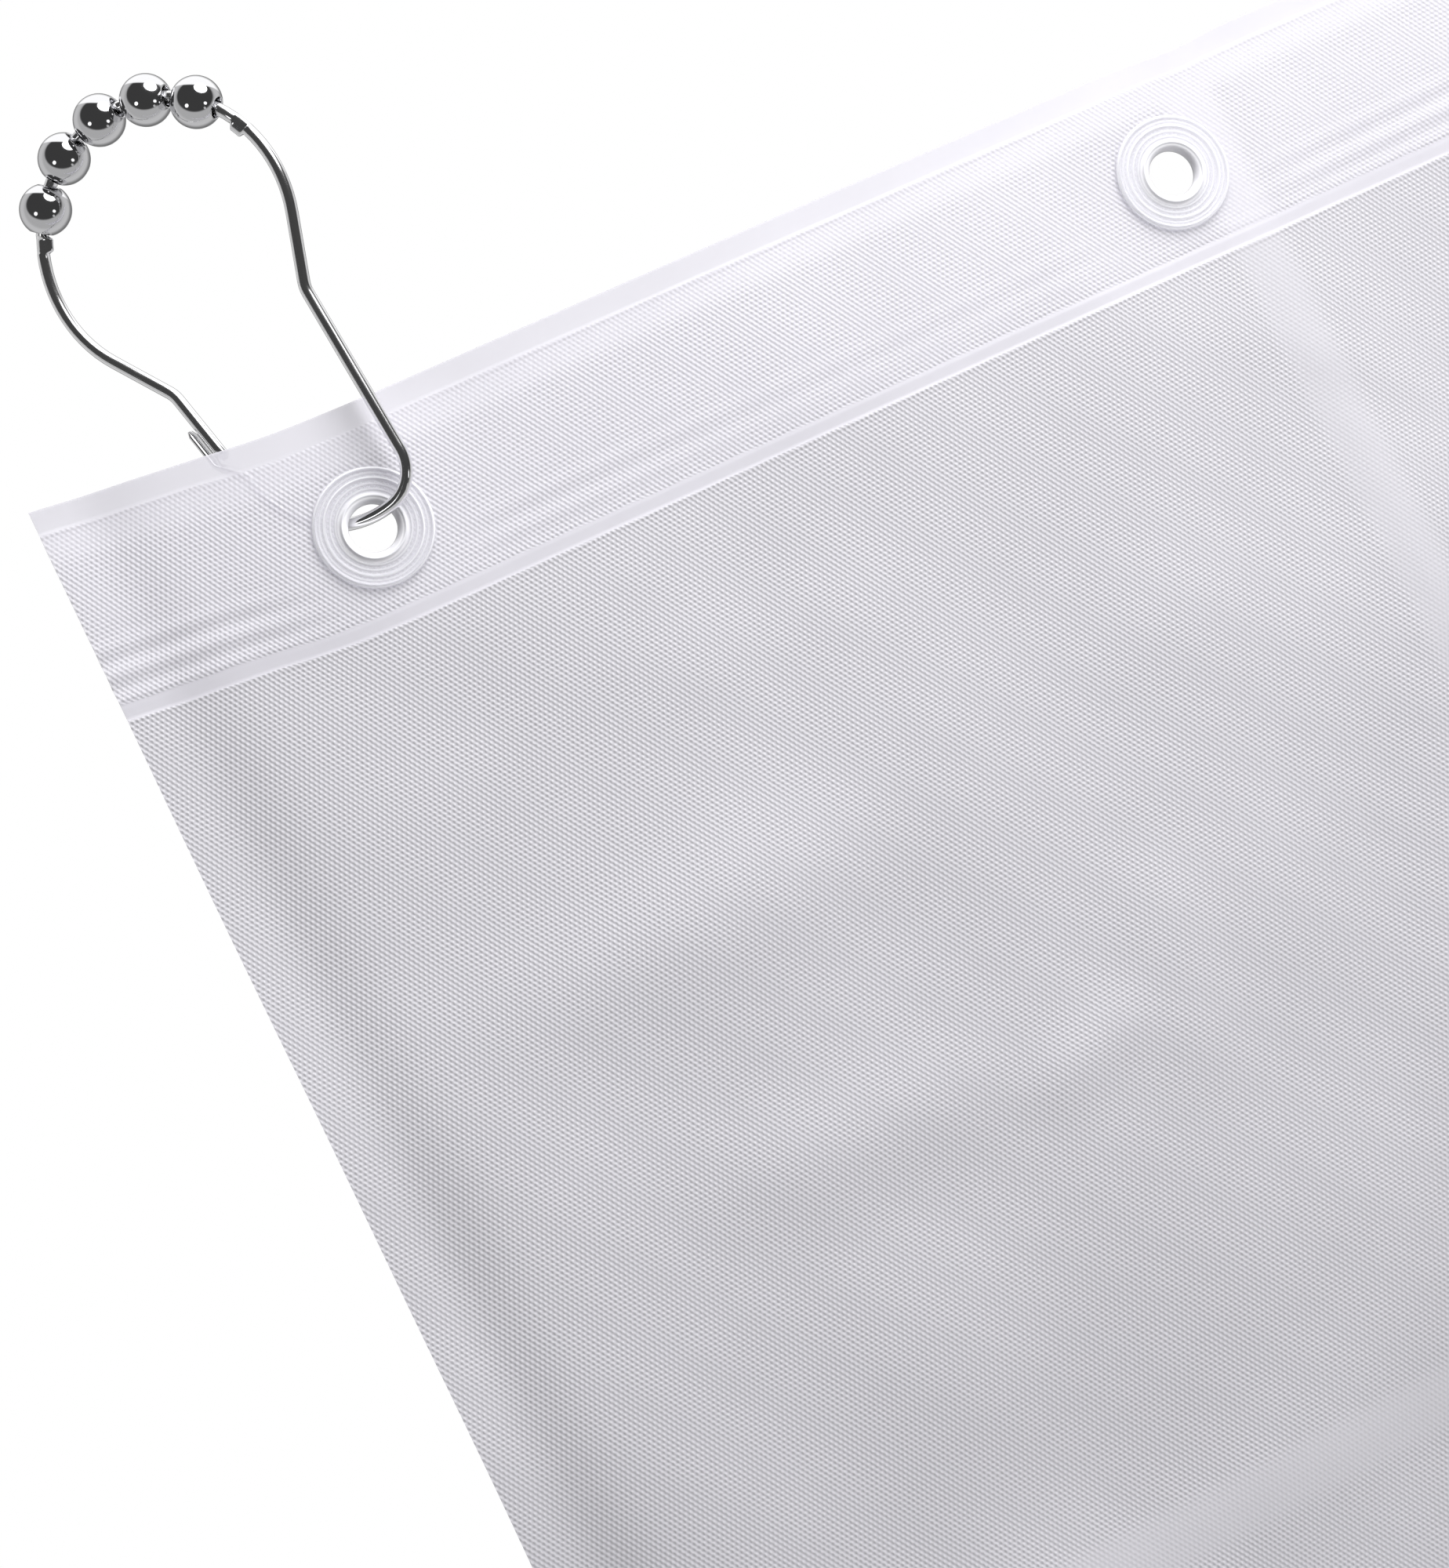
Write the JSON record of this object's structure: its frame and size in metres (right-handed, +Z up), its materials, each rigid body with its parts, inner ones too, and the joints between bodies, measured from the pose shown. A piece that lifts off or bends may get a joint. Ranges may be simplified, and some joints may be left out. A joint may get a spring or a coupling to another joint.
{
  "type": "shower curtain",
  "caption": "Clear frosted plastic shower curtain liner with a welded header, snap eyelets along the top and a chrome roller hook in the end eyelet; it gathers in pleats",
  "frame": {"origin": "the underside of the hook's middle ball, where the top of the rod touches it", "axes": "+Z up, the sheet hangs in the XZ plane with its front towards -Y, and runs to +X from the hook"},
  "size_m": [1.8288, 0.0282, 1.8957],
  "materials": {
    "film": "embossed frosted clear film",
    "header_film": "embossed frosted clear film, welded along both edges",
    "eyelet_plastic": "clear moulded plastic",
    "chrome": "polished chrome plate"
  },
  "bodies": {
    "hook": {"hook_wire": "chrome"},
    "gate": {"hook_gate": "chrome"},
    "ball_1": {"roller_ball_1": "chrome"},
    "ball_2": {"roller_ball_2": "chrome"},
    "ball_3": {"roller_ball_3": "chrome"},
    "ball_4": {"roller_ball_4": "chrome"},
    "ball_5": {"roller_ball_5": "chrome"},
    "panel_01": {"film_panel_01": "film", "header_panel_01": "header_film", "eyelet_front_01": "eyelet_plastic", "eyelet_back_01": "eyelet_plastic"},
    "panel_02": {"film_panel_02": "film", "header_panel_02": "header_film", "eyelet_front_02": "eyelet_plastic", "eyelet_back_02": "eyelet_plastic"},
    "panel_03": {"film_panel_03": "film", "header_panel_03": "header_film", "eyelet_front_03": "eyelet_plastic", "eyelet_back_03": "eyelet_plastic"},
    "panel_04": {"film_panel_04": "film", "header_panel_04": "header_film", "eyelet_front_04": "eyelet_plastic", "eyelet_back_04": "eyelet_plastic"},
    "panel_05": {"film_panel_05": "film", "header_panel_05": "header_film", "eyelet_front_05": "eyelet_plastic", "eyelet_back_05": "eyelet_plastic"},
    "panel_06": {"film_panel_06": "film", "header_panel_06": "header_film", "eyelet_front_06": "eyelet_plastic", "eyelet_back_06": "eyelet_plastic"},
    "panel_07": {"film_panel_07": "film", "header_panel_07": "header_film", "eyelet_front_07": "eyelet_plastic", "eyelet_back_07": "eyelet_plastic"},
    "panel_08": {"film_panel_08": "film", "header_panel_08": "header_film", "eyelet_front_08": "eyelet_plastic", "eyelet_back_08": "eyelet_plastic"},
    "panel_09": {"film_panel_09": "film", "header_panel_09": "header_film", "eyelet_front_09": "eyelet_plastic", "eyelet_back_09": "eyelet_plastic"},
    "panel_10": {"film_panel_10": "film", "header_panel_10": "header_film", "eyelet_front_10": "eyelet_plastic", "eyelet_back_10": "eyelet_plastic"},
    "panel_11": {"film_panel_11": "film", "header_panel_11": "header_film", "eyelet_front_11": "eyelet_plastic", "eyelet_back_11": "eyelet_plastic"},
    "panel_12": {"film_panel_12": "film", "header_panel_12": "header_film", "eyelet_front_12": "eyelet_plastic", "eyelet_back_12": "eyelet_plastic"}
  },
  "joints": [
    {"name": "gather", "type": "hinge", "parent": "hook", "child": "panel_01", "pos_m": [0.01052, -0.00683, -0.0791], "axis": [0, 0, 1], "range_deg": [0, 78]},
    {"name": "fold_01_02", "type": "hinge", "parent": "panel_01", "child": "panel_02", "pos_m": [0.08901, -0.00728, -0.0791], "axis": [0, 0, 1], "range_deg": [-156, 0]},
    {"name": "fold_02_03", "type": "hinge", "parent": "panel_02", "child": "panel_03", "pos_m": [0.246, -0.00638, -0.0791], "axis": [0, 0, 1], "range_deg": [0, 156]},
    {"name": "fold_03_04", "type": "hinge", "parent": "panel_03", "child": "panel_04", "pos_m": [0.40298, -0.00728, -0.0791], "axis": [0, 0, 1], "range_deg": [-156, 0]},
    {"name": "fold_04_05", "type": "hinge", "parent": "panel_04", "child": "panel_05", "pos_m": [0.55996, -0.00638, -0.0791], "axis": [0, 0, 1], "range_deg": [0, 156]},
    {"name": "fold_05_06", "type": "hinge", "parent": "panel_05", "child": "panel_06", "pos_m": [0.71694, -0.00728, -0.0791], "axis": [0, 0, 1], "range_deg": [-156, 0]},
    {"name": "fold_06_07", "type": "hinge", "parent": "panel_06", "child": "panel_07", "pos_m": [0.87392, -0.00638, -0.0791], "axis": [0, 0, 1], "range_deg": [0, 156]},
    {"name": "fold_07_08", "type": "hinge", "parent": "panel_07", "child": "panel_08", "pos_m": [1.0309, -0.00728, -0.0791], "axis": [0, 0, 1], "range_deg": [-156, 0]},
    {"name": "fold_08_09", "type": "hinge", "parent": "panel_08", "child": "panel_09", "pos_m": [1.18789, -0.00638, -0.0791], "axis": [0, 0, 1], "range_deg": [0, 156]},
    {"name": "fold_09_10", "type": "hinge", "parent": "panel_09", "child": "panel_10", "pos_m": [1.34487, -0.00728, -0.0791], "axis": [0, 0, 1], "range_deg": [-156, 0]},
    {"name": "fold_10_11", "type": "hinge", "parent": "panel_10", "child": "panel_11", "pos_m": [1.50185, -0.00638, -0.0791], "axis": [0, 0, 1], "range_deg": [0, 156]},
    {"name": "fold_11_12", "type": "hinge", "parent": "panel_11", "child": "panel_12", "pos_m": [1.65883, -0.00728, -0.0791], "axis": [0, 0, 1], "range_deg": [-156, 0]},
    {"name": "gate_spring", "type": "hinge", "parent": "hook", "child": "gate", "pos_m": [-0.01795, 0.01166, -0.01393], "axis": [0.7902, -0.5132, 0.3349], "range_deg": [0, 25], "stiffness_Nm_per_rad": 0.05},
    {"name": "ball_1_roll", "type": "hinge", "parent": "hook", "child": "ball_1", "pos_m": [-0.01388, 0.00901, -0.00429], "axis": [-0.5275, 0.3426, -0.7774], "continuous": true},
    {"name": "ball_2_roll", "type": "hinge", "parent": "hook", "child": "ball_2", "pos_m": [-0.00782, 0.00508, 0.00165], "axis": [-0.7414, 0.4815, -0.4673], "continuous": true},
    {"name": "ball_3_roll", "type": "hinge", "parent": "hook", "child": "ball_3", "pos_m": [-0.00029, 0.00019, 0.00427], "axis": [-0.8359, 0.5428, -0.0819], "continuous": true},
    {"name": "ball_4_roll", "type": "hinge", "parent": "hook", "child": "ball_4", "pos_m": [0.00749, -0.00486, 0.00315], "axis": [-0.7955, 0.5166, 0.3167], "continuous": true},
    {"name": "ball_5_roll", "type": "hinge", "parent": "hook", "child": "ball_5", "pos_m": [0.01428, -0.00927, -0.00153], "axis": [-0.6269, 0.4071, 0.6642], "continuous": true}
  ],
  "couplings": [
    {"joint": "fold_01_02", "follows": "gather", "ratio": -2},
    {"joint": "fold_02_03", "follows": "gather", "ratio": 2},
    {"joint": "fold_03_04", "follows": "gather", "ratio": -2},
    {"joint": "fold_04_05", "follows": "gather", "ratio": 2},
    {"joint": "fold_05_06", "follows": "gather", "ratio": -2},
    {"joint": "fold_06_07", "follows": "gather", "ratio": 2},
    {"joint": "fold_07_08", "follows": "gather", "ratio": -2},
    {"joint": "fold_08_09", "follows": "gather", "ratio": 2},
    {"joint": "fold_09_10", "follows": "gather", "ratio": -2},
    {"joint": "fold_10_11", "follows": "gather", "ratio": 2},
    {"joint": "fold_11_12", "follows": "gather", "ratio": -2}
  ]
}
